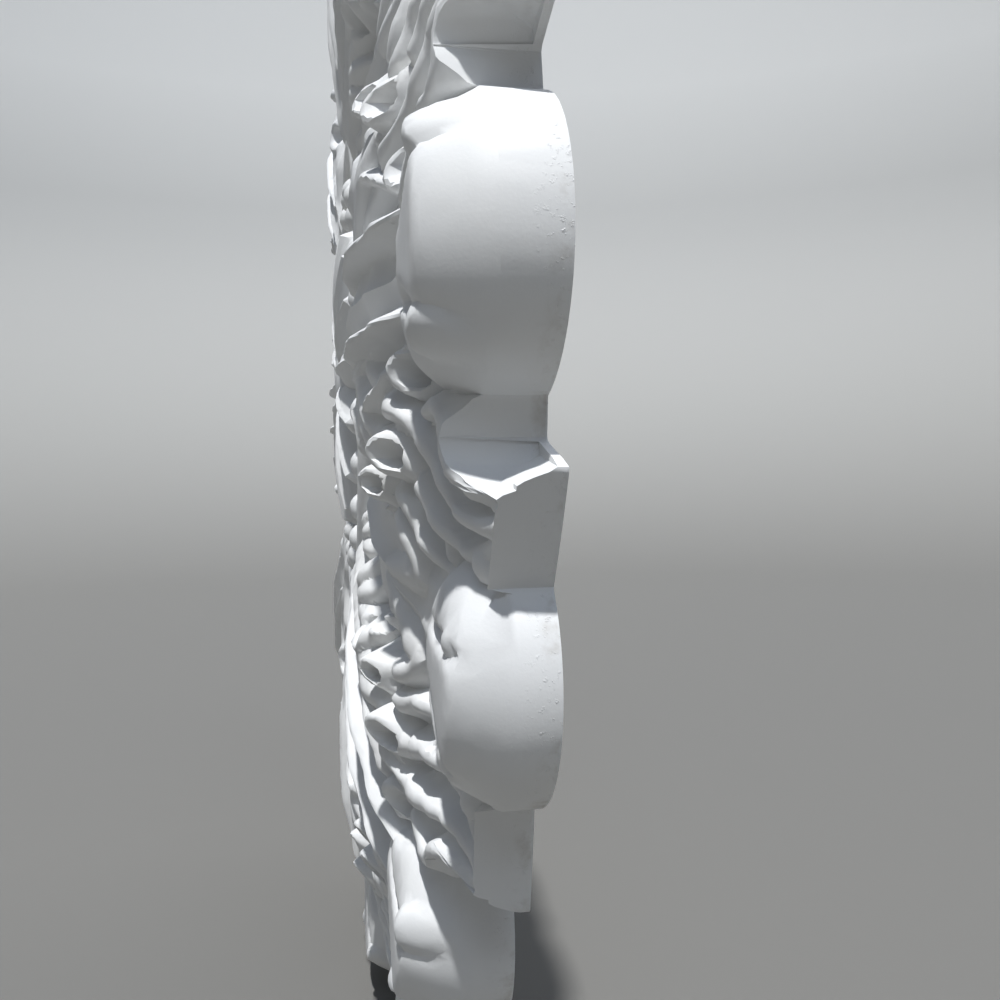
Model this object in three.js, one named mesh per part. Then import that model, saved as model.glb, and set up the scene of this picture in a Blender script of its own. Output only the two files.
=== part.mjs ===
// A round cast ceiling rose with eight acanthus leaves that curl over at the rim.
// Millimetres. The flat back lies in the plane y = 0 and the ornament stands towards -Y.
// The disc is upright: its middle is the origin, +Z is up and one big leaf points along +X.
import * as THREE from "three";
import { SimplifyModifier } from "three/addons/modifiers/SimplifyModifier.js";

// Outline
const LEAVES = 8;
const LEAF_TIP_R = 280;
const LEAF_LOBE_RADIUS = 34.5;
const COVE_DEPTH = 22.7;
const HORN_REACH = 19.9;
const HORN_SLANT = 10.2;
const HORN_TIP_ANGLE = 10.3;
const HORN_ROOT_ANGLE = 17.1;
const SMALL_REACH = 26.7;
const SMALL_LOBE_RADIUS = 33.5;

// Heights above the flat back
const LEAF_LOBE_TOP = 31.5;
const LEAF_LOBE_WALL = 13.5;
const LEAF_CREST = 40;
const SMALL_LOBE_TOP = 23;
const SMALL_LOBE_WALL = 9;
const SMALL_CREST = 34;
const HORN_TOP = 14.3;
const COVE_WALL = 23.5;
const FIELD = 10.5;

// Middle
const RING_R = 104;
const RING_HALF_WIDTH = 8;
const RING_TOP = 35;
const BEAD_R = 84;
const BEADS = 24;
const BEAD_RADIUS = 6.5;
const BEAD_TOP = 37;
const PETALS = 16;
const PETAL_OUTER_R = 66;
const PETAL_TOP = 40;
const BOSS_R = 22;
const BOSS_TOP = 41;

// Fineness of the carved surface, before and after its flatter facets are joined
const COLUMNS_IN_HALF_SECTOR = 45;
const ROWS = 130;
const ROUND_SHARE = 0.8;
const KEPT_POINTS = 4900;

const HALF_SECTOR = Math.PI / LEAVES;
const DEG = Math.PI / 180;

// The carving is drawn for a leaf of 280 and a crest of 40, and grows and rises with them
const GROWN = LEAF_TIP_R / 280;
const RAISED = LEAF_CREST / 40;
const COVE_R = LEAF_TIP_R - COVE_DEPTH;
const HORN_TIP_R = COVE_R + HORN_REACH;
const HORN_ROOT_R = HORN_TIP_R - HORN_SLANT;
const SMALL_TIP_R = COVE_R + SMALL_REACH;
const ROUND_TO_R = COVE_R - 13 * GROWN;

const mix = (a, b, t) => a + (b - a) * t;
const clamp01 = (t) => Math.min(1, Math.max(0, t));

function smooth(a, b, x) {
  const t = clamp01((x - a) / (b - a));
  return t * t * (3 - 2 * t);
}

// A curve through equally spaced heights, eased between them.
function along(values, t) {
  const s = clamp01(t) * (values.length - 1);
  const i = Math.min(values.length - 2, Math.floor(s));
  return mix(values[i], values[i + 1], smooth(0, 1, s - i));
}

// Where a ray at this angle leaves a disc whose centre is on the axis.
function discEdge(angle, centre, radius) {
  const inside = radius ** 2 - (centre * Math.sin(angle)) ** 2;
  return inside > 0 ? centre * Math.cos(angle) + Math.sqrt(inside) : 0;
}

// Rim of the rose, from a big leaf's axis (0) to a small leaf's axis (half sector).
function outline(angle) {
  const degrees = angle / DEG;
  const lobe = discEdge(angle, LEAF_TIP_R - LEAF_LOBE_RADIUS, LEAF_LOBE_RADIUS);
  const small = discEdge(HALF_SECTOR - angle, SMALL_TIP_R - SMALL_LOBE_RADIUS, SMALL_LOBE_RADIUS);
  const hornSide = smooth(HORN_TIP_ANGLE - 0.8, HORN_TIP_ANGLE, degrees);
  const hornRun = clamp01((degrees - HORN_TIP_ANGLE) / (HORN_ROOT_ANGLE - HORN_TIP_ANGLE));
  const horn = mix(COVE_R, mix(HORN_TIP_R, HORN_ROOT_R, hornRun), hornSide);
  return Math.max(lobe, horn, small);
}

// A carved leaflet: a bent spine in the plane with a width, a run of heights and a rounded back.
function leaflet(spec) {
  const points = spec.spine.map(
    ([r, degrees]) =>
      new THREE.Vector2(r * Math.cos(degrees * DEG), r * Math.sin(degrees * DEG)).multiplyScalar(GROWN),
  );
  const curve = points.length > 3 ? new THREE.SplineCurve(points) : new THREE.QuadraticBezierCurve(...points);
  return {
    spine: curve.getPoints(20),
    width: spec.width.map((w) => w * GROWN),
    height: spec.height.map((h) => h * RAISED),
    round: spec.round * RAISED,
  };
}

function leafletHeight(leaf, x, y) {
  const { spine } = leaf;
  let nearest = Infinity;
  let place = 0;
  for (let i = 0; i + 1 < spine.length; i += 1) {
    const dx = spine[i + 1].x - spine[i].x;
    const dy = spine[i + 1].y - spine[i].y;
    const t = clamp01(((x - spine[i].x) * dx + (y - spine[i].y) * dy) / (dx * dx + dy * dy));
    const gap = Math.hypot(x - spine[i].x - dx * t, y - spine[i].y - dy * t);
    if (gap < nearest) {
      nearest = gap;
      place = (i + t) / (spine.length - 1);
    }
  }
  const half = along(leaf.width, place);
  const top = along(leaf.height, place);
  const across = nearest / half;
  if (across <= 1) return top - leaf.round * across * across;
  return top - leaf.round - 2.6 * (nearest - half);
}

// Three stacked lobes at each side of a big leaf; every lobe is cut into fingers with a tip each.
// Places are [radius, degrees from the big leaf's axis].
const LOBES = [
  { root: [104, 6], bend: [118, 11], tips: [[126, 19], [139, 18.6], [150, 15.8]], height: [32, 34, 27] },
  { root: [132, 6], bend: [152, 10], tips: [[160, 18.2], [174, 17.2], [184, 14.2]], height: [36, 37, 29] },
  { root: [160, 6], bend: [184, 10], tips: [[194, 17], [207, 15.6], [216, 13]], height: [38, 38, 31] },
  { root: [190, 6], bend: [224, 9], tips: [[244, 16.4], [233, 11.2]], height: [38, 36, 25] },
];

function lobeFingers({ root, bend, tips, height }) {
  return tips.map((tip, i) => ({
    spine: [root, [bend[0] + 7 * i, bend[1] - 0.6 * i], tip],
    width: [6, 7.5, 3],
    height,
    round: 6,
  }));
}

// Folds that sweep round the cove to the horn, one behind the other.
const FOLDS = [
  {
    spine: [[226, 6.4], [246, 7.2], [254.6, 8.6], [256, 10], [259, 10.95], [264, 11.5], [271.5, 12]],
    width: [4, 3.5, 3.2, 3, 3, 3, 2.5],
    height: [31, 25.5, 24.2, 24, 23.2, 20, 15.5],
    round: 2,
  },
  {
    spine: [[216, 8.6], [236, 9.8], [248, 11.6], [257, 13], [265, 13.3], [272.5, 12.9]],
    width: [4, 3.5, 3, 3, 3, 2.5],
    height: [33.5, 27.5, 24, 21, 17.6, 14.6],
    round: 2.5,
  },
  {
    spine: [[210, 11], [226, 12], [240, 14.3], [253, 15.3], [261, 14.9], [270, 13.9]],
    width: [4, 3.5, 3, 3, 3, 2.5],
    height: [34, 29, 24.5, 18.6, 15.8, 14],
    round: 2.5,
  },
  {
    spine: [[202, 12.4], [218, 14], [230, 16.4], [243, 17.4], [252, 16.6]],
    width: [4, 3.5, 3, 3, 2.5],
    height: [34, 30.5, 26, 19.5, 15],
    round: 3,
  },
  {
    spine: [[204, 14.6], [218, 16.6], [226, 19.2], [218, 21.6], [206, 22.3]],
    width: [3.5, 3.5, 3.5, 3.5, 3],
    height: [33, 30, 26, 23, 22],
    round: 3.5,
  },
];

// Side fingers of the small leaf.
const SMALL_FINGERS = [[190, 17.2, 24], [212, 16.8, 21], [233, 17.2, 18]].map(([r, degrees, tipHeight]) => ({
  spine: [[r - 36, 22], [r - 8, 20], [r, degrees]],
  width: [5, 7, 3.4],
  height: [31, 28, tipHeight],
  round: 5,
}));

const LEAFLETS = [...LOBES.flatMap(lobeFingers), ...FOLDS, ...SMALL_FINGERS].map(leaflet);

// Long body of a leaf on its own axis: ribs run along it and its edges turn down.
function leafBody(u, v, run, width, crest, edge, ribs, ribDepth) {
  const t = (u - run[0]) / (run[1] - run[0]);
  if (t < 0 || t > 1) return -Infinity;
  const across = Math.abs(v) / along(width, t);
  const top = along(crest, t);
  if (across > 1) return edge - 2.6 * (Math.abs(v) - along(width, t));
  const back = edge + (top - edge) * Math.sqrt(1 - across ** 2.4);
  const flute = Math.abs(Math.sin(Math.PI * ribs * across));
  return back - ribDepth * flute * (1 - across * 0.5) * Math.sin(Math.PI * clamp01(t * 0.9 + 0.06));
}

// A curled-over leaf tip: a D-shaped cushion, full at the rim and rounded off towards the middle.
function pillow(u, v, centre, radius, { wall, top, round, neck, inner }) {
  const back = Math.max(0, centre - u);
  const half = mix(radius, neck, smooth(0, inner + 6, back));
  const inset = u > centre ? radius - Math.hypot(u - centre, v) : half - Math.abs(v);
  if (inset < 0) return wall + 3 * inset;
  const across = 1 - clamp01(inset / round);
  const end = clamp01((back - 4) / inner);
  const arch = Math.sqrt(1 - clamp01(Math.abs(v) / half) ** 2);
  const dome = arch * Math.sqrt(1 - across * across) * Math.sqrt(1 - end ** 2.4);
  return wall + (top - wall) * dome - 3 * Math.max(0, back - inner - 4);
}

const LEAF_PILLOW = {
  wall: LEAF_LOBE_WALL,
  top: LEAF_LOBE_TOP,
  round: LEAF_LOBE_RADIUS * 0.44,
  neck: LEAF_LOBE_RADIUS * 0.32,
  inner: 20 * GROWN,
};

const SMALL_PILLOW = {
  wall: SMALL_LOBE_WALL,
  top: SMALL_LOBE_TOP,
  round: SMALL_LOBE_RADIUS * 0.42,
  neck: SMALL_LOBE_RADIUS * 0.36,
  inner: 16 * GROWN,
};

// The horn's slanted end: how high it stands, and the hollow of the cove that runs on behind it.
const HORN_RISE = [[10.2, 0.15], [10.45, 0.29], [10.75, 0.57], [11.1, 0.79], [11.5, 0.94], [12.3, 1.02]];
const HOLLOW_EDGE = [
  [9.2, 0.1], [10, -0.9], [10.4, -2.3], [10.75, -4.2], [11.25, -9.3], [11.5, -13.7], [11.8, -22.7],
];
const HOLLOW_FROM = 9.2;
const HOLLOW_TO = 11.8;

function between(pairs, x) {
  const i = pairs.findIndex(([at]) => x < at);
  if (i === 0) return pairs[0][1];
  if (i < 0) return pairs[pairs.length - 1][1];
  const [a, b] = [pairs[i - 1], pairs[i]];
  return mix(a[1], b[1], (x - a[0]) / (b[0] - a[0]));
}

const hollowRadius = (degrees) => COVE_R - between(HOLLOW_EDGE, degrees) * GROWN;

// A pocket between two leaf lobes, with a raised rim.
function eye(height, x, y, r, degrees, radius, depth) {
  const gap = Math.hypot(x - r * Math.cos(degrees * DEG), y - r * Math.sin(degrees * DEG));
  const rim = 1.6 * Math.exp(-(((gap - radius * 1.25) / 2.2) ** 2));
  return height + rim - depth * smooth(radius, radius * 0.35, gap);
}

// Boss, petals, beads and ring in the middle.
function middle(r, angle) {
  const inBoss = clamp01(1 - (r / BOSS_R) ** 2);
  const boss = r < BOSS_R ? 33 + (BOSS_TOP - 33) * Math.sqrt(inBoss) : -Infinity;
  const petalRun = clamp01((r - BOSS_R) / (PETAL_OUTER_R - BOSS_R));
  const petalAngle = (2 * Math.PI) / PETALS;
  const offAxis = Math.abs(((angle + petalAngle / 2) % petalAngle) - petalAngle / 2) * r;
  const petalHalf = r * Math.tan(petalAngle / 2) * Math.sqrt(clamp01(1 - petalRun ** 5));
  const petalBack = along([31, 34, 38, PETAL_TOP], petalRun);
  const besidePetal = petalBack - 5 - 2.5 * (offAxis - petalHalf);
  const petal = offAxis < petalHalf ? petalBack - 4.5 * (offAxis / petalHalf) ** 2 : besidePetal;
  const petals = r < PETAL_OUTER_R ? petal : petalBack - 5 - 2.6 * (r - PETAL_OUTER_R);
  const beadAngle = (2 * Math.PI) / BEADS;
  const beadOff = ((angle + beadAngle / 2) % beadAngle) - beadAngle / 2;
  const beadGap = Math.hypot(r - BEAD_R, beadOff * BEAD_R) / BEAD_RADIUS;
  const bead = beadGap < 1 ? BEAD_TOP - 7 + 7 * Math.sqrt(1 - beadGap ** 2) : -Infinity;
  const across = Math.abs(r - RING_R) / RING_HALF_WIDTH;
  const besideRing = RING_TOP - 9 - 2 * (across - 1) * 8;
  const ring = across < 1 ? RING_TOP - 9 + 9 * Math.sqrt(1 - across ** 2) : besideRing;
  const floor = 24 - 4 * smooth(70, 96, r);
  return Math.max(boss, petals, bead, ring, r < RING_R ? floor : -Infinity);
}

// Height of the carved face above the back.
function relief(r, angle) {
  const x = r * Math.cos(angle);
  const y = r * Math.sin(angle);
  const turned = HALF_SECTOR - angle;
  const p = r * Math.cos(turned);
  const q = r * Math.sin(turned);
  if (r < RING_R + 1) return middle(r, angle);
  let h = Math.max(FIELD, middle(r, angle));
  const grown = (values) => values.map((value) => value * GROWN);
  const bigCrest = [0.8, 0.95, 1, 1, 0.93, 0.75, 0.58].map((part) => part * LEAF_CREST);
  const bigWidth = grown([13, 25, 35, 37, 32, 26, 24]);
  h = Math.max(h, leafBody(x, y, grown([100, 240]), bigWidth, bigCrest, LEAF_CREST * 0.55, 2, 3.4));
  const smallCrest = [0.7, 0.88, 1, 1, 0.88, 0.7, 0.62].map((part) => part * SMALL_CREST);
  const smallWidth = grown([7, 12, 18, 22, 22, 20, 22]);
  h = Math.max(h, leafBody(p, q, grown([104, 250]), smallWidth, smallCrest, SMALL_CREST * 0.5, 1.5, 3));
  for (const leaf of LEAFLETS) {
    h = Math.max(h, leafletHeight(leaf, x, y));
  }
  h = Math.max(h, pillow(x, y, LEAF_TIP_R - LEAF_LOBE_RADIUS, LEAF_LOBE_RADIUS, LEAF_PILLOW));
  h = Math.max(h, pillow(p, q, SMALL_TIP_R - SMALL_LOBE_RADIUS, SMALL_LOBE_RADIUS, SMALL_PILLOW));
  const degrees = angle / DEG;
  const lip = HORN_TOP - 1.1 * (outline(angle) - r);
  if (degrees > 11.4 && degrees < 18 && lip > 0) h = Math.max(h, lip);
  if (degrees > HOLLOW_FROM && degrees < HOLLOW_TO && r > hollowRadius(degrees)) {
    h = Math.min(h, HORN_TOP * between(HORN_RISE, degrees));
  }
  h = eye(h, x, y, 231 * GROWN, 6.2, 5, 8);
  h = eye(h, x, y, 223 * GROWN, 11.3, 5, 8);
  h = eye(h, x, y, 178 * GROWN, 11.8, 5, 8);
  return h;
}

// Height of the upright wall at the rim.
function rimWall(angle) {
  const degrees = angle / DEG;
  const lobe = discEdge(angle, LEAF_TIP_R - LEAF_LOBE_RADIUS, LEAF_LOBE_RADIUS);
  const small = discEdge(HALF_SECTOR - angle, SMALL_TIP_R - SMALL_LOBE_RADIUS, SMALL_LOBE_RADIUS);
  if (lobe > COVE_R) return LEAF_LOBE_WALL;
  if (small > outline(angle) - 0.01) return SMALL_LOBE_WALL;
  if (degrees < HOLLOW_FROM) return COVE_WALL;
  return HORN_TOP * between(HORN_RISE, degrees);
}

// Angles of the columns in a half sector, closer together beside the cove and the small lobe.
function columnAngles() {
  const marks = [0, 4, 6.4, 7.8, 9.4, 10.4, 12.6, 15, 17.6, 22.5];
  const angles = [];
  const each = Math.round(COLUMNS_IN_HALF_SECTOR / (marks.length - 1));
  for (let i = 0; i + 1 < marks.length; i += 1) {
    for (let k = 0; k < each; k += 1) {
      angles.push(mix(marks[i], marks[i + 1], k / each) * DEG);
    }
  }
  return angles;
}

// Columns right round the rose: each half sector is the mirror image of the one before it.
function allColumns() {
  const half = columnAngles();
  const columns = [];
  for (let k = 0; k < LEAVES; k += 1) {
    const start = 2 * k * HALF_SECTOR;
    for (const angle of half) {
      columns.push({ local: angle, turn: start + angle });
    }
    columns.push({ local: HALF_SECTOR, turn: start + HALF_SECTOR });
    for (const angle of half.slice(1).reverse()) {
      columns.push({ local: angle, turn: start + 2 * HALF_SECTOR - angle });
    }
  }
  return columns;
}

// How far the carving has risen from the rim wall to its full height; the cove's lip stays crisp.
function risen(r, angle, edge, wall) {
  const degrees = angle / DEG;
  if (degrees > HOLLOW_FROM && degrees < HOLLOW_TO && r <= hollowRadius(degrees)) return 1;
  return Math.sqrt(clamp01((edge - r) / (wall > 20 ? 3 : 9)));
}

// Closed body: carved face, upright rim wall and flat back.
function carvedBody() {
  const columns = allColumns();
  const count = columns.length;
  const points = [0, -relief(0, 0), 0];
  const put = (r, turn, h) => points.push(r * Math.cos(turn), -h, r * Math.sin(turn));
  for (let row = 1; row <= ROWS; row += 1) {
    for (const { local, turn } of columns) {
      const edge = outline(local);
      const outer = clamp01((row / ROWS - ROUND_SHARE) / (1 - ROUND_SHARE));
      const r = outer > 0 ? mix(ROUND_TO_R, edge, outer) : (ROUND_TO_R * row) / (ROWS * ROUND_SHARE);
      const wall = rimWall(local);
      const carved = relief(r, local);
      const h = carved > wall ? mix(wall, carved, risen(r, local, edge, wall)) : carved;
      put(r, turn, Math.max(h, 2));
    }
  }
  for (const { local, turn } of columns) {
    put(outline(local), turn, 0);
  }
  points.push(0, 0, 0);
  const backMiddle = points.length / 3 - 1;
  const at = (row, column) => 1 + (row - 1) * count + (column % count);
  const faces = [];
  for (let c = 0; c < count; c += 1) {
    faces.push(0, at(1, c), at(1, c + 1));
    for (let row = 1; row <= ROWS; row += 1) {
      faces.push(at(row, c), at(row + 1, c), at(row + 1, c + 1));
      faces.push(at(row, c), at(row + 1, c + 1), at(row, c + 1));
    }
    faces.push(at(ROWS + 1, c), backMiddle, at(ROWS + 1, c + 1));
  }
  const geometry = new THREE.BufferGeometry();
  geometry.setAttribute("position", new THREE.Float32BufferAttribute(points, 3));
  geometry.setIndex(faces);
  return geometry;
}

// The same body with its flatter facets joined, so that the points lie where the carving turns.
async function faceted(fine) {
  const surplus = fine.getAttribute("position").count - KEPT_POINTS;
  const geometry = await new SimplifyModifier().modify(fine, surplus);
  geometry.computeVertexNormals();
  return geometry;
}

const whitePaint = new THREE.MeshStandardMaterial({ color: "#eceae6", roughness: 0.72, metalness: 0 });

const rose = new THREE.Group();
const ceilingRose = new THREE.Mesh(await faceted(carvedBody()), whitePaint);
ceilingRose.name = "ceiling_rose";
rose.add(ceilingRose);

export default rose;
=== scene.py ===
import math

import bmesh
import bpy
import numpy as np
from mathutils import Matrix, Vector


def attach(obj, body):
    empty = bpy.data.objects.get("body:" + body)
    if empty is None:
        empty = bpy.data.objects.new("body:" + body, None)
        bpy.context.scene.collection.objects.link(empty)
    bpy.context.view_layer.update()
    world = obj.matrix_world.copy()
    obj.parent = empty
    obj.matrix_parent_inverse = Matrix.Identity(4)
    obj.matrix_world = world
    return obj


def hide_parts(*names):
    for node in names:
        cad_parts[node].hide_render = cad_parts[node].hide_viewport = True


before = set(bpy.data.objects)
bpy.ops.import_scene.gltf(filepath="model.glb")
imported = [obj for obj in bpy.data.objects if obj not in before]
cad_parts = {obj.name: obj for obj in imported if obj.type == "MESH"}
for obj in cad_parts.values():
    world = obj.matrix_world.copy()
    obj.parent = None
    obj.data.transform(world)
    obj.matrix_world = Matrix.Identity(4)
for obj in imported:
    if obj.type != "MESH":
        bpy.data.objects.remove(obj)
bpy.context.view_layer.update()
print("frame loaded")

mm = 0.001
halfSector = math.radians(22.5)  # the design repeats in eighths, each one mirrored about its middle


# shapes are worked out in millimetres and radians, and scaled to metres when the mesh is made
def smooth(low, high, x):
    t = np.clip((x - low) / (high - low), 0.0, 1.0)
    return t * t * (3 - 2 * t)


def along(values, t):
    place = np.clip(t, 0.0, 1.0) * (len(values) - 1)
    low = np.minimum(place.astype(int), len(values) - 2)
    part = place - low
    part = part * part * (3 - 2 * part)
    steps = np.array(values, dtype=float)
    return steps[low] * (1 - part) + steps[low + 1] * part


def polar(r, degrees):
    angle = math.radians(degrees)
    return np.array([r * math.cos(angle), r * math.sin(angle)])


# outer edge of the plate in plan
edgeValues = {
    "leafTip": 280.0, "leafRadius": 34.5,
    "smallTip": 284.0, "smallRadius": 33.5,
    "cove": 257.3,
    "hornTip": 277.2, "hornTipAngle": 10.3,
    "hornRoot": 267.0, "hornRootAngle": 17.1, "hornSide": 0.8,
}


def discEdge(angle, centre, radius):
    across = np.abs(centre * np.sin(angle))
    inside = np.maximum(radius * radius - across * across, 0.0)
    return np.where(across < radius, centre * np.cos(angle) + np.sqrt(inside), 0.0)


def plateEdge(angle):
    e = edgeValues
    degrees = np.degrees(angle)
    leaf = discEdge(angle, e["leafTip"] - e["leafRadius"], e["leafRadius"])
    small = discEdge(halfSector - angle, e["smallTip"] - e["smallRadius"], e["smallRadius"])
    side = smooth(e["hornTipAngle"] - e["hornSide"], e["hornTipAngle"], degrees)
    turn = e["hornRootAngle"] - e["hornTipAngle"]
    run = np.clip((degrees - e["hornTipAngle"]) / turn, 0, 1)
    slant = e["hornTip"] + (e["hornRoot"] - e["hornTip"]) * run
    horn = e["cove"] + side * (slant - e["cove"])
    return np.maximum(np.maximum(leaf, small), horn)


def bentLine(spine, steps):
    # evenly stepped points along a smooth line through or towards the (radius, degrees) places
    places = [polar(*p) for p in spine]
    if len(places) == 3:
        p0, p1, p2 = places
        return [p0 * (1 - t) ** 2 + p1 * 2 * t * (1 - t) + p2 * t * t
                for t in np.linspace(0, 1, steps + 1)]
    ends = [2 * places[0] - places[1]] + places + [2 * places[-1] - places[-2]]
    line = []
    for place in np.linspace(0, len(places) - 1.0001, steps + 1):
        i = int(place)
        t = place - i
        a, b, c, d = ends[i:i + 4]
        line.append(0.5 * (2 * b + (c - a) * t + (2 * a - 5 * b + 4 * c - d) * t * t
                           + (3 * b - a - 3 * c + d) * t ** 3))
    return line


ridgeSteps = 22  # straight runs in each bent line


# one carved finger: a rounded ridge that follows a bent line and ends in a soft tip
def ridge(x, y, spine, width, height, crown, fall=2.6, tilt=0.0, hollow=0.0):
    steps = ridgeSteps
    best = np.full(x.shape, 1e9)
    place = np.zeros(x.shape)
    side = np.ones(x.shape)
    line = bentLine(spine, steps)
    for i in range(1, steps + 1):
        last, here = line[i - 1], line[i]
        run = here - last
        size = run @ run
        ahead = (x - last[0]) * run[0] + (y - last[1]) * run[1]
        part = np.clip(ahead / size, 0.0, 1.0)
        dx = x - last[0] - part * run[0]
        dy = y - last[1] - part * run[1]
        gap = np.hypot(dx, dy)
        nearer = gap < best
        best = np.where(nearer, gap, best)
        place = np.where(nearer, (i - 1 + part) / steps, place)
        side = np.where(nearer, np.sign(run[0] * dy - run[1] * dx), side)
    half = along(width, place)
    top = along(height, place)
    across = best / half
    near = np.minimum(across, 1.0)
    level = top - crown * near ** 2 + tilt * side * near
    out = np.maximum(best - half, 0.0)
    return level - hollow * (1 - np.exp(-out / 2.5)) - fall * out


# fingers of the leaves: spine in (radius, degrees from the big leaf's middle), width, height, crown
fingerValues = {
    # three stacked lobes at the leaf's side, each cut into fingers that curl at the tip
    "lowLobe": {"root": (104, 6), "bend": (118, 11), "tips": [(126, 19), (139, 18.6), (150, 15.8)],
                "width": (5, 6, 2.6), "height": (32, 34, 27), "crown": 6},
    "midLobe": {"root": (132, 6), "bend": (152, 10),
                "tips": [(160, 18.2), (174, 17.2), (184, 14.2)],
                "width": (6, 7, 2.8), "height": (36, 37, 29), "crown": 6},
    "highLobe": {"root": (160, 6), "bend": (184, 10), "tips": [(194, 17), (207, 15.6), (216, 13)],
                 "width": (6, 7.5, 3), "height": (38, 38, 31), "crown": 6.5},
    # drapes that sweep round the cove to the horn
    "drape": {"root": (190, 6), "bend": (224, 9), "tips": [(244, 16.4), (233, 11.2)],
              "width": (5, 4, 3), "height": (36, 31, 20), "crown": 4},
}
# how each finger of a lobe bends past the last
fingerSpread = {"outward": 7, "turn": 0.6, "tilt": -1.2}

# side fingers of the small leaf: each tip's place and height, and how far back it bends and starts
smallFingerValues = {
    "tips": [((190, 17.2), 24), ((212, 16.8), 21), ((233, 17.2), 18)],
    "root": (36, 22), "bend": (8, 20), "width": (5, 7, 3.4), "height": (31, 28), "crown": 5,
}

# the cove: its height behind the horn and its rounded front, both by degrees from the leaf's middle
coveValues = {
    "from": 9.2, "to": 11.8, "wall": 23.5,
    "turn": (8.7, 10.2, 10.45, 10.75, 11.1, 11.5, 12.3),
    "ramp": (2.0, 2.1, 4.2, 8.2, 11.3, 13.4, 14.6),
    "rimTurn": (7.4, 9.2, 9.6, 10.0, 10.4, 10.75, 11.0, 11.25, 11.5, 11.65, 11.8),
    "rimRadius": (257.3, 257.2, 257.5, 258.2, 259.6, 261.5, 263.7, 266.6, 271.0, 275.0, 280.0),
}

# folds sweep round the cove to the horn, each a thin raised edge with a hollow face beside it
foldShape = {"crown": 1.2, "fall": 0.8, "hollow": 5.5}
foldValues = [
    {"spine": [(140, 4.9), (165, 4.2), (190, 3.7), (215, 3.2), (239, 2.9)],
     "width": (1.2, 1.4, 1.4, 1.4, 1.2), "height": (38.5, 41.5, 41.5, 37, 29)},
    {"spine": [(229, 4.6), (217, 6.4), (204, 8.4), (188, 9.8)],
     "width": (1.4, 1.4, 1.4, 1.2), "height": (29, 34, 37.5, 38)},
    {"spine": [(240, 8.4), (249, 8.0), (254.9, 8.8), (256.5, 10.0), (259.5, 10.95), (264.5, 11.5),
               (272, 11.9)],
     "width": (2, 2.4, 2.4, 2.2, 2.2, 2.2, 2), "height": (26, 25, 24.2, 24, 23.2, 20, 15.5)},
    {"spine": [(216, 8.6), (236, 9.8), (248, 11.6), (257, 13.0), (265, 13.3), (272.5, 12.9)],
     "width": (3.5, 3, 2.2, 2, 2, 2), "height": (33.5, 27.5, 24, 21, 17.6, 14.6)},
    {"spine": [(210, 11.0), (226, 12.0), (240, 14.3), (253, 15.3), (261, 14.9), (270, 13.9)],
     "width": (3.5, 3, 2.2, 2, 2, 2), "height": (34, 29, 24.5, 18.6, 15.8, 14)},
    {"spine": [(202, 12.4), (218, 14.0), (230, 16.4), (243, 17.4), (252, 16.6)],
     "width": (3.5, 3, 2.2, 2, 2), "height": (34, 30.5, 26, 19.5, 15)},
    {"spine": [(204, 14.6), (218, 16.6), (226, 19.2), (218, 21.6), (206, 22.3)],
     "width": (3, 2.6, 2.4, 2.4, 2.4), "height": (33, 30, 26, 23, 22)},
]

pillowValues = {
    "leaf": {"wall": 14.5, "top": 31.0, "round": 12.0, "neck": 12, "inner": 20, "arch": 3.4},
    "small": {"wall": 9.0, "top": 24.0, "round": 13.0, "neck": 12, "inner": 16, "arch": 2.8},
}

# the leaves' bodies: where each runs, its half width and its crest on the way out, and its ribs
fieldHeight = 10.5
bodyValues = {
    "leaf": {"run": (100, 240), "width": (13, 25, 35, 37, 32, 26, 24),
             "crest": (32, 38, 40, 40, 37, 30, 23), "edge": 22, "ribs": 2, "depth": 3.4},
    "small": {"run": (104, 250), "width": (7, 12, 18, 22, 22, 20, 22),
              "crest": (24, 30, 34, 34, 30, 24, 21), "edge": 17, "ribs": 1.5, "depth": 3},
}

# a crease parts each shoulder of a lobe from its middle and runs out towards the rim
creaseValues = {
    "leaf": {"off": 9.3, "spread": 9.0, "bend": (236, 270), "depth": 4.4, "width": 2.1,
             "ends": (275, 262), "starts": (230, 242)},
    "small": {"off": 8.0, "spread": 7.0, "bend": (240, 272), "depth": 3.4, "width": 1.9,
              "ends": (277, 262), "starts": (236, 246)},
}

# round buds beside the lobes and by the horn
bulbValues = [
    {"place": (263, 4.3), "radius": 7.5, "top": 31.6},
    {"place": (264, 19.2), "radius": 5.5, "top": 23.6},
    {"place": (262, 15.4), "radius": 5.0, "top": 17},
]

# sunk eyes where the leaves overlap
eyeValues = [
    {"place": (178, 11.8), "size": (6.0, 4.4), "depth": 9, "turn": 30},
    {"place": (192, 16.2), "size": (5.0, 3.4), "depth": 7, "turn": 60},
]

hornLipValues = {"from": 11.4, "to": 18.0, "top": 14.5, "slope": 1.1}
roundingValues = {"tallWall": 20, "cove": 3.0, "lobe": 9.0}  # how far in the edge is rounded
unevenDepth = 0.09


def leafBody(u, v, run, width, crest, edge, ribs, depth):
    t = (u - run[0]) / (run[1] - run[0])
    half = along(width, t)
    top = along(crest, t)
    across = np.abs(v) / half
    inside = np.maximum(1 - np.minimum(across, 1.0) ** 2.4, 0.0)
    swell = np.sin(np.pi * np.clip(t * 0.9 + 0.06, 0, 1))
    ribbing = depth * np.abs(np.sin(np.pi * ribs * across)) * (1 - across * 0.5) * swell
    level = edge + (top - edge) * np.sqrt(inside) - ribbing
    level = np.where(across > 1, edge - 2.6 * (np.abs(v) - half), level)
    ends = np.minimum(smooth(-0.03, 0.04, t), smooth(1.10, 1.0, t))
    return level * ends


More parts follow.
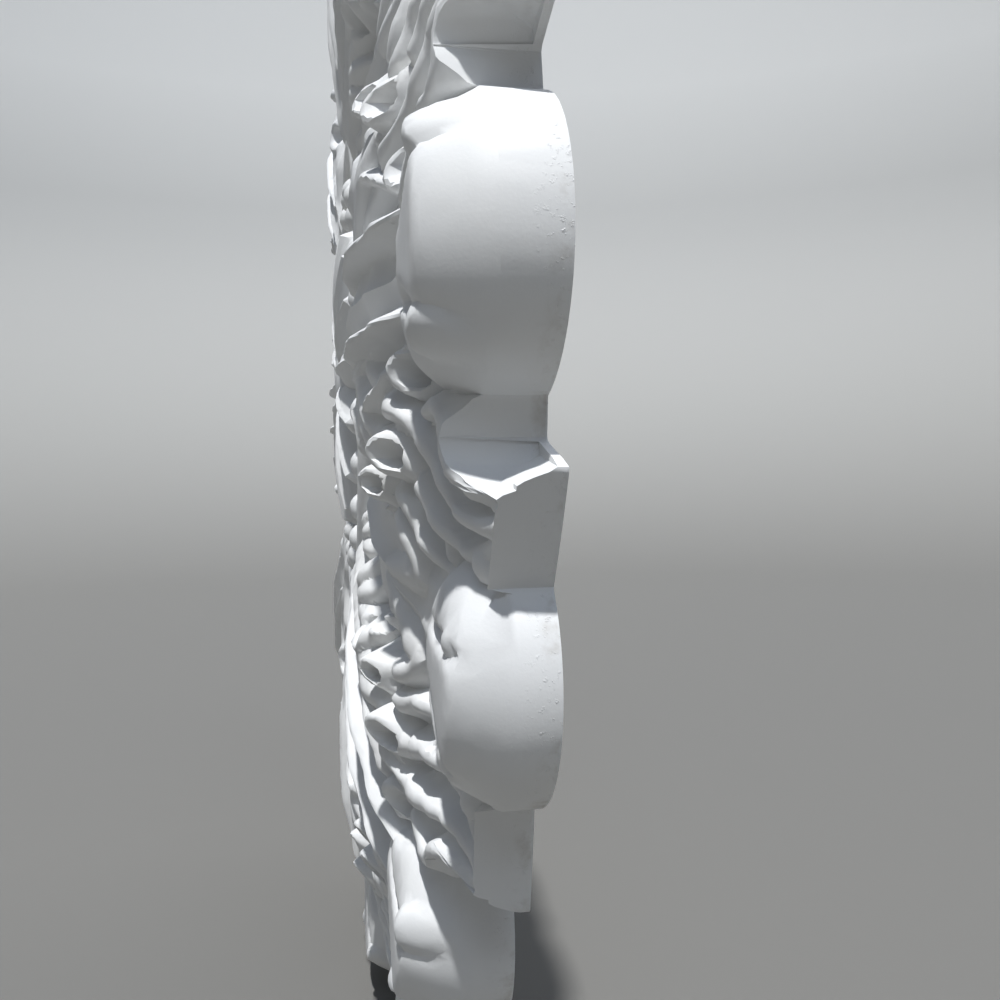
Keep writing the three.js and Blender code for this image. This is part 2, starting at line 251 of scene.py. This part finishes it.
def pillow(u, v, centre, radius, values):
    # a D-shaped cushion: full towards the rim, narrower and rounded off towards the middle
    back = np.clip(centre - u, 0, None)
    half = radius + (values["neck"] - radius) * smooth(0, values["inner"] + 6, back)
    inset = np.where(u > centre, radius - np.hypot(u - centre, v), half - np.abs(v))
    part = np.clip(inset / values["round"], 0, 1)
    dome = np.sqrt(np.maximum(1 - (1 - part) ** 2, 0.0))
    across = np.minimum(np.abs(v) / half, 1)
    dome = dome * np.sqrt(np.maximum(1 - across ** values["arch"], 0.0))
    end = np.clip((back - 7 + 9 * across ** 2) / values["inner"], 0, 1)
    dome = dome * np.sqrt(np.maximum(1 - end ** 2.4, 0.0))
    level = values["wall"] + (values["top"] - values["wall"]) * dome
    level = np.where(inset < 0, values["wall"] + 3.0 * inset, level)
    return level - 3.0 * np.clip(back - values["inner"] - 4, 0, None)


def crease(u, v, off, spread, bend, depth, width, ends, starts):
    line = v - off - spread * smooth(*bend, u)
    return depth * np.exp(-(line / width) ** 2) * smooth(*ends, u) * smooth(*starts, u)


def bulb(x, y, place, radius, top):
    centre = polar(*place)
    gap = np.hypot(x - centre[0], y - centre[1])
    dome = np.sqrt(np.maximum(1 - (gap / radius) ** 2, 0.0))
    level = top - radius + radius * dome
    return np.where(gap > radius, top - radius - 3.0 * (gap - radius), level)


def turnedOval(x, y, place, size, turn):
    # how far along a turned oval each point lies, and its distance as a share of the oval's edge
    centre = polar(*place)
    c, s = math.cos(math.radians(turn)), math.sin(math.radians(turn))
    dx = (x - centre[0]) * c + (y - centre[1]) * s
    dy = -(x - centre[0]) * s + (y - centre[1]) * c
    return dx, np.hypot(dx / size[0], dy / size[1])


def eye(level, x, y, place, size, depth, turn, rim=1.8):
    gap = turnedOval(x, y, place, size, turn)[1]
    mean = math.sqrt(size[0] * size[1])
    lifted = level + rim * np.exp(-((gap - 1.3) * mean / 2.0) ** 2)
    return lifted - depth * smooth(1.0, 0.4, gap)


loopValues = [
    {"place": (230, 6.2), "size": (5.2, 4.4), "turn": 12, "top": 27.2,
     "slope": 0.95, "depth": 12, "rim": 2.0},
    {"place": (222, 11.5), "size": (5.0, 4.0), "turn": 15, "top": 32.6,
     "slope": 0.9, "depth": 12, "rim": 1.9},
    {"place": (207, 14.3), "size": (3.6, 3.2), "turn": 20, "top": 35.8,
     "slope": 0.8, "depth": 10, "rim": 1.5},
]


def loop(level, x, y, place, size, turn, top, slope, depth, rim):
    # a rolled leaf edge round a hole, higher at its inner end
    dx, gap = turnedOval(x, y, place, size, turn)
    off = (gap - 1.0) * math.sqrt(size[0] * size[1])
    crest = top - slope * dx
    roll = crest - 1.6 * (np.abs(off) / rim) ** 2
    roll = np.where(off > rim, crest - 1.6 - 2.8 * (off - rim), roll)
    level = level - 2.4 * np.exp(-((off - rim - 2.6) / 1.7) ** 2)
    level = np.maximum(level, np.where(gap > 0.8, roll, 0))
    return np.where(gap < 1.0, np.minimum(level, crest - depth * smooth(0.0, -3.2, off)), level)


middleValues = {
    "boss": (22, 41), "petals": 16, "petalOuter": 66, "petalTop": 40,
    "beads": 24, "beadRing": 84, "beadRadius": 6.5, "beadTop": 37,
    "ring": (104, 8, 35), "meets": 14, "covers": 1,
}


def middle(r, angle):
    m = middleValues
    level = 24 - 4 * smooth(70, 96, r)
    petalTurn = 2 * np.pi / m["petals"]
    near = np.abs((angle + petalTurn / 2) % petalTurn - petalTurn / 2)
    across = near * np.maximum(r, 1)
    t = np.clip((r - 14) / (m["petalOuter"] - 14), 0, 1)
    half = np.maximum(1.2 + 11.8 * np.sin(np.pi * np.clip(0.12 + 0.74 * t, 0, 1)) * t ** 0.35, 1)
    part = across / half
    arch = np.sin(np.pi * np.clip(0.25 + 0.55 * t, 0, 1))
    petal = 32 + (m["petalTop"] - 32) * arch - 6 * part ** 2
    petal = petal + 1.6 * np.exp(-(across / 1.3) ** 2)
    petal = np.where(r < m["petalOuter"], petal, petal - 3 * (r - m["petalOuter"]))
    level = np.maximum(level, petal)
    bossRadius, bossTop = m["boss"]
    boss = bossTop - 9 + 9 * np.sqrt(np.maximum(1 - (r / bossRadius) ** 2, 0))
    boss = np.where(r > bossRadius, bossTop - 9 - 2.5 * (r - bossRadius), boss)
    level = np.maximum(level, boss)
    beadTurn = 2 * np.pi / m["beads"]
    beadNear = np.abs((angle + beadTurn / 2) % beadTurn - beadTurn / 2)
    gap = np.hypot(r - m["beadRing"], 2 * m["beadRing"] * np.sin(beadNear / 2))
    dome = np.sqrt(np.maximum(m["beadRadius"] ** 2 - gap ** 2, 0))
    bead = m["beadTop"] - m["beadRadius"] + dome
    level = np.where(gap < m["beadRadius"], np.maximum(level, bead), level)
    ringRadius, ringHalf, ringTop = m["ring"]
    off = np.abs(r - ringRadius)
    ring = ringTop - 5 + 5 * np.sqrt(np.maximum(1 - (off / ringHalf) ** 2, 0))
    ring = np.where(off > ringHalf, ringTop - 5 - 2.2 * (off - ringHalf), ring)
    return np.maximum(level, ring)


def rimWall(angle):
    degrees = np.degrees(angle)
    e = edgeValues
    leaf = discEdge(angle, e["leafTip"] - e["leafRadius"], e["leafRadius"]) > e["cove"]
    small = discEdge(halfSector - angle, e["smallTip"] - e["smallRadius"], e["smallRadius"])
    horn = np.interp(degrees, coveValues["turn"], coveValues["ramp"])
    horn = np.where(degrees < coveValues["from"], coveValues["wall"], horn)
    level = np.where(leaf, pillowValues["leaf"]["wall"], horn)
    return np.where(small > plateEdge(angle) - 0.01, pillowValues["small"]["wall"], level)


def relief(r, angle):
    x = r * np.cos(angle)
    y = r * np.sin(angle)
    turned = halfSector - angle
    p = r * np.cos(turned)
    q = r * np.sin(turned)
    degrees = np.degrees(angle)
    edge = plateEdge(angle)
    level = np.full(r.shape, fieldHeight)
    level = np.maximum(level, leafBody(x, y, **bodyValues["leaf"]))
    level = np.maximum(level, leafBody(p, q, **bodyValues["small"]))
    for lobe in fingerValues.values():
        for i, tip in enumerate(lobe["tips"]):
            bend = (lobe["bend"][0] + fingerSpread["outward"] * i,
                    lobe["bend"][1] - fingerSpread["turn"] * i)
            level = np.maximum(level, ridge(x, y, (lobe["root"], bend, tip), lobe["width"],
                                            lobe["height"], lobe["crown"],
                                            tilt=fingerSpread["tilt"]))
    for fold in foldValues:
        level = np.maximum(level, ridge(x, y, **fold, **foldShape))
    s = smallFingerValues
    for tip, top in s["tips"]:
        root = (tip[0] - s["root"][0], s["root"][1])
        bend = (tip[0] - s["bend"][0], s["bend"][1])
        level = np.maximum(level, ridge(x, y, (root, bend, tip), s["width"], (*s["height"], top),
                                        s["crown"]))
    e = edgeValues
    leafCentre = e["leafTip"] - e["leafRadius"]
    smallCentre = e["smallTip"] - e["smallRadius"]
    level = np.maximum(level, pillow(x, y, leafCentre, e["leafRadius"], pillowValues["leaf"]))
    level = np.maximum(level, pillow(p, q, smallCentre, e["smallRadius"], pillowValues["small"]))
    level = level - crease(x, y, **creaseValues["leaf"])
    level = level - crease(p, q, **creaseValues["small"])
    for bud in bulbValues:
        level = np.maximum(level, bulb(x, y, **bud))
    # the horn's front edge is a raised lip with a hollow behind it
    h = hornLipValues
    lip = h["top"] - h["slope"] * (edge - r)
    inLip = (degrees > h["from"]) & (degrees < h["to"]) & (lip > 0)
    level = np.where(inLip, np.maximum(level, lip), level)
    # the cove's smooth hollow runs on behind the sloping end of the horn
    hollow = np.interp(degrees, coveValues["turn"], coveValues["ramp"])
    front = np.interp(degrees, coveValues["rimTurn"], coveValues["rimRadius"])
    besideHorn = (degrees > coveValues["from"]) & (degrees < coveValues["to"])
    level = np.where(besideHorn & (r > front), np.minimum(level, hollow), level)
    for hole in loopValues:
        level = loop(level, x, y, **hole)
    for sunk in eyeValues:
        level = eye(level, x, y, **sunk)
    rosette = middle(r, angle)
    ring = middleValues["ring"][0]
    level = np.maximum(level, np.where(r < ring + middleValues["meets"], rosette, 0))
    level = np.where(r < ring + middleValues["covers"], rosette, level)
    # slow unevenness of the master, in waves a few millimetres long
    waveX = np.sin(x / 0.93 + 1.7 * np.sin(y / 3.1))
    waveY = np.sin(y / 0.87 + 1.3 * np.sin(x / 2.7))
    level = level + unevenDepth * waveX * waveY
    # the relief is rounded down to the upright wall at the rim, but not at the cove's lip
    wall = rimWall(angle)
    rounded = np.where(wall > roundingValues["tallWall"], roundingValues["cove"],
                       roundingValues["lobe"])
    lift = np.sqrt(np.clip((edge - r) / rounded, 0, 1))
    lift = np.where(besideHorn & (r <= front), 1.0, lift)
    low = np.minimum(level, wall)
    return np.maximum(low + (level - low) * lift, 2.0)


meshValues = {
    "across": 110, "outward": 300, "roundTo": 244.0, "innerShare": 0.83, "lipShare": 0.6,
    "lipGap": 0.08, "keep": 0.175, "seamTo": 250.0, "atAxis": 1.2, "atSeam": 0.8,
    "joinGrid": 0.05, "joinSeams": 0.03, "join": 0.01, "backRing": 0.5, "sharpFrom": 34,
}


def movePoints(bm, places):
    for vert, place in zip(bm.verts, places):
        vert.co = place


def makePatch():
    # half of one eighth, from a plain grid whose points are moved to radius, angle and height
    bm = bmesh.new()
    bmesh.ops.create_grid(bm, x_segments=meshValues["across"], y_segments=meshValues["outward"],
                          size=0.5)
    flat = np.array([v.co[:] for v in bm.verts])
    angle = (flat[:, 0] + 0.5) * halfSector
    outward = np.clip(flat[:, 1] + 0.5, 0, 1)
    # rows are round in the middle, and only the outermost ones take up the shape of the edge
    inner, share = meshValues["roundTo"], meshValues["innerShare"]
    edge = plateEdge(angle)
    outer = np.maximum(outward - share, 0) / (1 - share)
    degrees = np.degrees(angle)
    lip = np.interp(degrees, coveValues["rimTurn"], coveValues["rimRadius"])
    lip = np.minimum(lip, edge - 0.3)
    inHollow = smooth(6.0, 9.0, degrees) * smooth(15.0, 12.0, degrees)
    part, gap = meshValues["lipShare"], meshValues["lipGap"]
    lip = inner + part * (edge - inner) + inHollow * (lip - inner - part * (edge - inner))
    before = inner + np.minimum(outer / part, 1) * (lip - gap - inner)
    after = lip + gap + (outer - part) / (1 - part) * (edge - lip - gap)
    r = np.where(outer < part, before, after)
    r = np.where(outward < share, outward / share * inner, r)
    height = relief(r, angle)
    movePoints(bm, np.column_stack((r * np.cos(angle), -height, r * np.sin(angle))) * mm)
    bmesh.ops.remove_doubles(bm, verts=bm.verts, dist=meshValues["joinGrid"] * mm)
    return bm


def snapSides(bm):
    # the patch's straight sides go back onto the mirror planes, and its point onto the axis
    m = meshValues
    low = Vector((0, 0, 1))
    high = Vector((-math.sin(halfSector), 0, math.cos(halfSector)))
    for vert in bm.verts:
        if not vert.is_boundary:
            continue
        radius = math.hypot(vert.co.x, vert.co.z)
        if radius < m["atAxis"] * mm:
            vert.co.x = vert.co.z = 0
            continue
        normal = min((low, high), key=lambda side: abs(vert.co.dot(side)))
        off = vert.co.dot(normal)
        if radius < m["seamTo"] * mm or abs(off) < m["atSeam"] * mm:
            vert.co -= normal * off


def thinned(bm, keep):
    mesh = bpy.data.meshes.new("patch")
    bm.to_mesh(mesh)
    bm.free()
    patch = bpy.data.objects.new("patch", mesh)
    bpy.context.scene.collection.objects.link(patch)
    thin = patch.modifiers.new("Thin", "DECIMATE")
    thin.ratio = keep
    seen = patch.evaluated_get(bpy.context.evaluated_depsgraph_get())
    made = bmesh.new()
    made.from_mesh(seen.to_mesh())
    bpy.data.objects.remove(patch, do_unlink=True)
    bpy.data.meshes.remove(mesh)
    return made


def pointsOf(made):
    return [g for g in made["geom"] if isinstance(g, bmesh.types.BMVert)]


def openEdgesOf(made):
    return [g for g in made["geom"] if isinstance(g, bmesh.types.BMEdge) and g.is_boundary]


def wholePlate():
    m = meshValues
    bm = thinned(makePatch(), m["keep"])
    snapSides(bm)
    print("patch:", len(bm.faces), "faces")
    bmesh.ops.mirror(bm, geom=bm.verts[:] + bm.edges[:] + bm.faces[:], matrix=Matrix.Identity(4),
                     merge_dist=m["join"] * mm, axis="Z")
    # seven more eighths, 45 degrees apart
    bmesh.ops.spin(bm, geom=bm.verts[:] + bm.edges[:] + bm.faces[:], cent=(0, 0, 0),
                   axis=(0, 1, 0), dvec=(0, 0, 0), angle=math.radians(315), steps=7,
                   use_merge=False, use_duplicate=True)
    bmesh.ops.remove_doubles(bm, verts=bm.verts, dist=m["joinSeams"] * mm)
    # a facet that fell flat into a seam, and is joined on one side only, is taken out
    flaps = {f for e in bm.edges if e.is_boundary and e.verts[0].co.xz.length < m["seamTo"] * mm
             for f in e.link_faces}
    bmesh.ops.delete(bm, geom=list(flaps), context="FACES")
    rimEdges = [e for e in bm.edges if e.is_boundary]
    print("whole front:", len(bm.faces), "faces,", len(rimEdges), "rim edges")
    # the upright edge of the cast, then its flat back: a ring half way in, and the middle
    pulled = bmesh.ops.extrude_edge_only(bm, edges=rimEdges)
    for vert in pointsOf(pulled):
        vert.co.y = 0
    inner = bmesh.ops.extrude_edge_only(bm, edges=openEdgesOf(pulled))
    bmesh.ops.scale(bm, vec=(m["backRing"], 1, m["backRing"]), verts=pointsOf(inner))
    centre = bmesh.ops.extrude_edge_only(bm, edges=openEdgesOf(inner))
    bmesh.ops.pointmerge(bm, verts=pointsOf(centre), merge_co=(0, 0, 0))
    bmesh.ops.remove_doubles(bm, verts=bm.verts, dist=m["join"] * mm)
    bmesh.ops.dissolve_degenerate(bm, edges=bm.edges, dist=m["join"] * mm)
    bmesh.ops.triangulate(bm, faces=bm.faces)
    bmesh.ops.recalc_face_normals(bm, faces=bm.faces)
    return bm


plateMesh = bpy.data.meshes.new("castRose")
bm = wholePlate()
loose = sum(1 for e in bm.edges if not e.is_manifold)
print("plate:", len(bm.faces), "triangles,", loose, "open or doubled edges")
bm.to_mesh(plateMesh)
bm.free()
plateMesh.shade_smooth()
plateMesh.set_sharp_from_angle(angle=math.radians(meshValues["sharpFrom"]))
rose = bpy.data.objects.new("castRose", plateMesh)
bpy.context.scene.collection.objects.link(rose)
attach(rose, "root")
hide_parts("ceiling_rose")
print("rose made")


def linear(code):
    parts = [int(code[i:i + 2], 16) / 255 for i in (1, 3, 5)]
    return [c / 12.92 if c <= 0.04045 else ((c + 0.055) / 1.055) ** 2.4 for c in parts] + [1.0]


def node(tree, kind, settings=None, links=None):
    made = tree.nodes.new(kind)
    for name, value in (settings or {}).items():
        if isinstance(name, int) or name in made.inputs:
            made.inputs[name].default_value = value
        else:
            setattr(made, name, value)
    for name, source in (links or {}).items():
        tree.links.new(source, made.inputs[name])
    return made


# Matt paint brushed on cast gypsum plaster: soft broad highlights, a faint brush and cast grain,
# small air holes from the pour and grey dust along the back edge. Sizes are in millimetres.
paintValues = {
    "paint": "#f1f1ef", "shadeTone": "#e2e4e6", "tonePatch": 60.0,
    "roughness": 0.58, "ior": 1.5,
    "dust": "#a39a8c", "dustPatch": 16.0, "dustBand": (5.5, 0.5), "dustShare": (0.50, 0.72),
    "dustAmount": 0.75, "backDust": 0.14, "backBand": (0.5, 0.1),
    "grainSize": 0.8, "grainHeight": 0.10, "holeSpacing": 34.0, "holeSize": 1.1,
    "pitSize": 1.7, "pitBand": (9, 2), "pitShare": (0.30, 0.42), "pitHeight": -0.5,
    "bumpStrength": 0.55, "bumpHeight": 0.5,
}


def paintedPlaster():
    v = paintValues
    mat = bpy.data.materials.new("mattPaintOnCastPlaster")
    mat.use_nodes = True
    tree = mat.node_tree
    shader = tree.nodes["Principled BSDF"]
    shader.inputs["Roughness"].default_value = v["roughness"]
    shader.inputs["IOR"].default_value = v["ior"]
    coords = node(tree, "ShaderNodeTexCoord").outputs["Object"]

    # the coat is a touch greyer in wide soft patches
    patches = node(tree, "ShaderNodeTexNoise", {"Scale": 1 / (v["tonePatch"] * mm), "Detail": 3.0},
                   {"Vector": coords})
    tone = node(tree, "ShaderNodeMix",
                {"data_type": "RGBA", 6: linear(v["paint"]), 7: linear(v["shadeTone"])},
                {"Factor": patches.outputs["Fac"]})

    # dust, only within a few millimetres of the back
    depth = node(tree, "ShaderNodeSeparateXYZ", None, {"Vector": coords})
    nearBack = node(tree, "ShaderNodeMapRange", {"From Min": -v["dustBand"][0] * mm,
                                                "From Max": -v["dustBand"][1] * mm},
                    {"Value": depth.outputs["Y"]})
    spots = node(tree, "ShaderNodeTexNoise", {"Scale": 1 / (v["dustPatch"] * mm), "Detail": 5.0,
                                             "Roughness": 0.65}, {"Vector": coords})
    spotMask = node(tree, "ShaderNodeMapRange", {"From Min": v["dustShare"][0],
                                                "From Max": v["dustShare"][1]},
                    {"Value": spots.outputs["Fac"]})
    dusty = node(tree, "ShaderNodeMath", {"operation": "MULTIPLY"},
                 {0: nearBack.outputs["Result"], 1: spotMask.outputs["Result"]})
    # the flat back itself stays cleaner
    offBack = node(tree, "ShaderNodeMapRange", {"From Min": -v["backBand"][0] * mm,
                                               "From Max": -v["backBand"][1] * mm,
                                               "To Min": v["dustAmount"], "To Max": v["backDust"]},
                   {"Value": depth.outputs["Y"]})
    dustAmount = node(tree, "ShaderNodeMath", {"operation": "MULTIPLY"},
                      {0: dusty.outputs["Value"], 1: offBack.outputs["Result"]})
    colour = node(tree, "ShaderNodeMix", {"data_type": "RGBA", 7: linear(v["dust"])},
                  {"Factor": dustAmount.outputs["Value"], 6: tone.outputs[2]})
    tree.links.new(colour.outputs[2], shader.inputs["Base Color"])

    # grain of the coat, air holes from the pour, and a rougher pitted band by the back edge
    grain = node(tree, "ShaderNodeTexNoise", {"Scale": 1 / (v["grainSize"] * mm), "Detail": 3.0},
                 {"Vector": coords})
    holes = node(tree, "ShaderNodeTexVoronoi", {"Scale": 1 / (v["holeSpacing"] * mm)},
                 {"Vector": coords})
    holeMask = node(tree, "ShaderNodeMapRange",
                    {"From Min": 0.3 * v["holeSize"] / v["holeSpacing"],
                     "From Max": 0.8 * v["holeSize"] / v["holeSpacing"]},
                    {"Value": holes.outputs["Distance"]})
    band = node(tree, "ShaderNodeMapRange", {"From Min": -v["pitBand"][0] * mm,
                                            "From Max": -v["pitBand"][1] * mm},
                {"Value": depth.outputs["Y"]})
    pits = node(tree, "ShaderNodeTexNoise", {"Scale": 1 / (v["pitSize"] * mm), "Detail": 4.0,
                                            "Roughness": 0.7}, {"Vector": coords})
    pitMask = node(tree, "ShaderNodeMapRange", {"From Min": v["pitShare"][0],
                                               "From Max": v["pitShare"][1]},
                   {"Value": pits.outputs["Fac"]})
    pitLevel = node(tree, "ShaderNodeMath", {"operation": "SUBTRACT", 1: 1.0},
                    {0: pitMask.outputs["Result"]})
    pitted = node(tree, "ShaderNodeMath", {"operation": "MULTIPLY"},
                  {0: band.outputs["Result"], 1: pitLevel.outputs["Value"]})
    height = node(tree, "ShaderNodeMath", {"operation": "MULTIPLY_ADD", 1: v["grainHeight"]},
                  {0: grain.outputs["Fac"], 2: holeMask.outputs["Result"]})
    whole = node(tree, "ShaderNodeMath", {"operation": "MULTIPLY_ADD", 1: v["pitHeight"]},
                 {0: pitted.outputs["Value"], 2: height.outputs["Value"]})
    bump = node(tree, "ShaderNodeBump", {"Strength": v["bumpStrength"],
                                        "Distance": v["bumpHeight"] * mm},
                {"Height": whole.outputs["Value"]})
    tree.links.new(bump.outputs["Normal"], shader.inputs["Normal"])
    return mat


plateMesh.materials.append(paintedPlaster())
print("paint made")


roomValues = {
    # the darker floor colour is painted shade, fading up to the paler wall colour higher up
    "low": "#7a7976", "high": "#dcdbd7", "paintedShadeTop": 1.6, "roughness": 0.9,
    "floor": -0.285, "radius": 3.6, "bend": 1.4, "height": 3.0, "segments": 96, "steps": 16,
}


def plainRoom():
    # a round floor that bends up into a plain wall on every side
    v = roomValues
    bm = bmesh.new()
    bmesh.ops.create_circle(bm, cap_ends=True, segments=v["segments"],
                            radius=v["radius"] - v["bend"])
    bmesh.ops.translate(bm, verts=bm.verts, vec=(0, 0, v["floor"]))
    steps = v["steps"]
    for i in range(1, steps + 2):
        turn = math.radians(90 * min(i, steps) / steps)
        size = v["radius"] - v["bend"] + v["bend"] * math.sin(turn)
        level = v["floor"] + v["bend"] * (1 - math.cos(turn))
        if i > steps:
            level = v["height"]
        rim = [e for e in bm.edges if e.is_boundary]
        grown = bmesh.ops.extrude_edge_only(bm, edges=rim)
        ring = pointsOf(grown)
        now = math.hypot(ring[0].co.x, ring[0].co.y)
        bmesh.ops.scale(bm, vec=(size / now, size / now, 1), verts=ring)
        bmesh.ops.translate(bm, verts=ring, vec=(0, 0, level - ring[0].co.z))
    bmesh.ops.recalc_face_normals(bm, faces=bm.faces)
    outward = [f for f in bm.faces
               if f.normal.z < -0.5 or f.normal.dot(f.calc_center_median()) > 0.5]
    bmesh.ops.reverse_faces(bm, faces=outward)
    mesh = bpy.data.meshes.new("room")
    bm.to_mesh(mesh)
    bm.free()
    mesh.shade_smooth()
    # matt background paper: no gloss at all, so the light on it stays soft
    mat = bpy.data.materials.new("mattPaperSweep")
    mat.use_nodes = True
    shader = mat.node_tree.nodes["Principled BSDF"]
    shader.inputs["Roughness"].default_value = v["roughness"]
    # the paper is painted darker towards the floor, as painted shade, and paler higher up
    coords = node(mat.node_tree, "ShaderNodeTexCoord").outputs["Object"]
    place = node(mat.node_tree, "ShaderNodeSeparateXYZ", None, {"Vector": coords})
    # painted shade: how far up the sweep the darker floor colour has faded
    paintedShadeFade = node(mat.node_tree, "ShaderNodeMapRange",
                {"From Min": v["floor"], "From Max": v["paintedShadeTop"]},
                {"Value": place.outputs["Z"]})
    tone = node(mat.node_tree, "ShaderNodeMix",
                {"data_type": "RGBA", 6: linear(v["low"]), 7: linear(v["high"])},
                {"Factor": paintedShadeFade.outputs["Result"]})
    mat.node_tree.links.new(tone.outputs[2], shader.inputs["Base Color"])
    mesh.materials.append(mat)
    room = bpy.data.objects.new("room", mesh)
    bpy.context.scene.collection.objects.link(room)
    return room


plainRoom()

# three suns, each with the direction it shines from, and a faint blue sky
lightValues = {
    "suns": {
        "key": {"place": (0.38, -0.13, 1.0), "power": 3.75, "spread": 2.0, "tone": "#ffffff"},
        "side": {"place": (1.0, -0.05, 0.9), "power": 1.25, "spread": 40.0, "tone": "#dbe6f5"},
        "fill": {"place": (-0.5, 0.4, 0.9), "power": 0.5, "spread": 40.0, "tone": "#ffffff"},
    },
    "sky": "#8fa9d6", "skyPower": 0.24, "exposure": -0.28,
}


def addSun(name, place, power, spread, tone):
    lamp = bpy.data.lights.new(name, "SUN")
    lamp.energy = power
    lamp.angle = math.radians(spread)
    lamp.color = linear(tone)[:3]
    holder = bpy.data.objects.new(name, lamp)
    bpy.context.scene.collection.objects.link(holder)
    holder.location = place
    holder.rotation_euler = (-Vector(place)).to_track_quat("-Z", "Y").to_euler()


for name, sun in lightValues["suns"].items():
    addSun(name, **sun)
bpy.context.scene.view_settings.view_transform = "Standard"
bpy.context.scene.view_settings.look = "Medium High Contrast"
bpy.context.scene.view_settings.exposure = lightValues["exposure"]
world = bpy.data.worlds.new("softRoom")
bpy.context.scene.world = world
world.use_nodes = True
background = world.node_tree.nodes["Background"]
background.inputs["Color"].default_value = linear(lightValues["sky"])
background.inputs["Strength"].default_value = lightValues["skyPower"]

# place in metres, angles in degrees, lens and sensor in millimetres
cameraValues = {
    "place": (0.461, -0.0495, -0.054), "turn": 10.6, "roll": 0.9, "pitch": 0.47,
    "lens": 34.9, "sensor": 36.0, "nearest": 0.01,
}


def makeCamera():
    v = cameraValues
    data = bpy.data.cameras.new("camera")
    data.lens = v["lens"]
    data.sensor_width = v["sensor"]
    data.clip_start = v["nearest"]
    holder = bpy.data.objects.new("camera", data)
    bpy.context.scene.collection.objects.link(holder)
    turn, roll = math.radians(v["turn"]), math.radians(v["roll"])
    ahead = Vector((-math.cos(turn), math.sin(turn), 0))
    right = Vector((math.sin(turn), math.cos(turn), 0))
    up = Vector((0, 0, 1)) * math.cos(roll) + right * math.sin(roll)
    right = ahead.cross(up)
    down = math.radians(v["pitch"])
    ahead, up = (ahead * math.cos(down) - up * math.sin(down),
                 up * math.cos(down) + ahead * math.sin(down))
    grid = Matrix((right, up, -ahead)).transposed()
    holder.matrix_world = Matrix.Translation(v["place"]) @ grid.to_4x4()
    bpy.context.scene.camera = holder


makeCamera()
print("light and camera made")
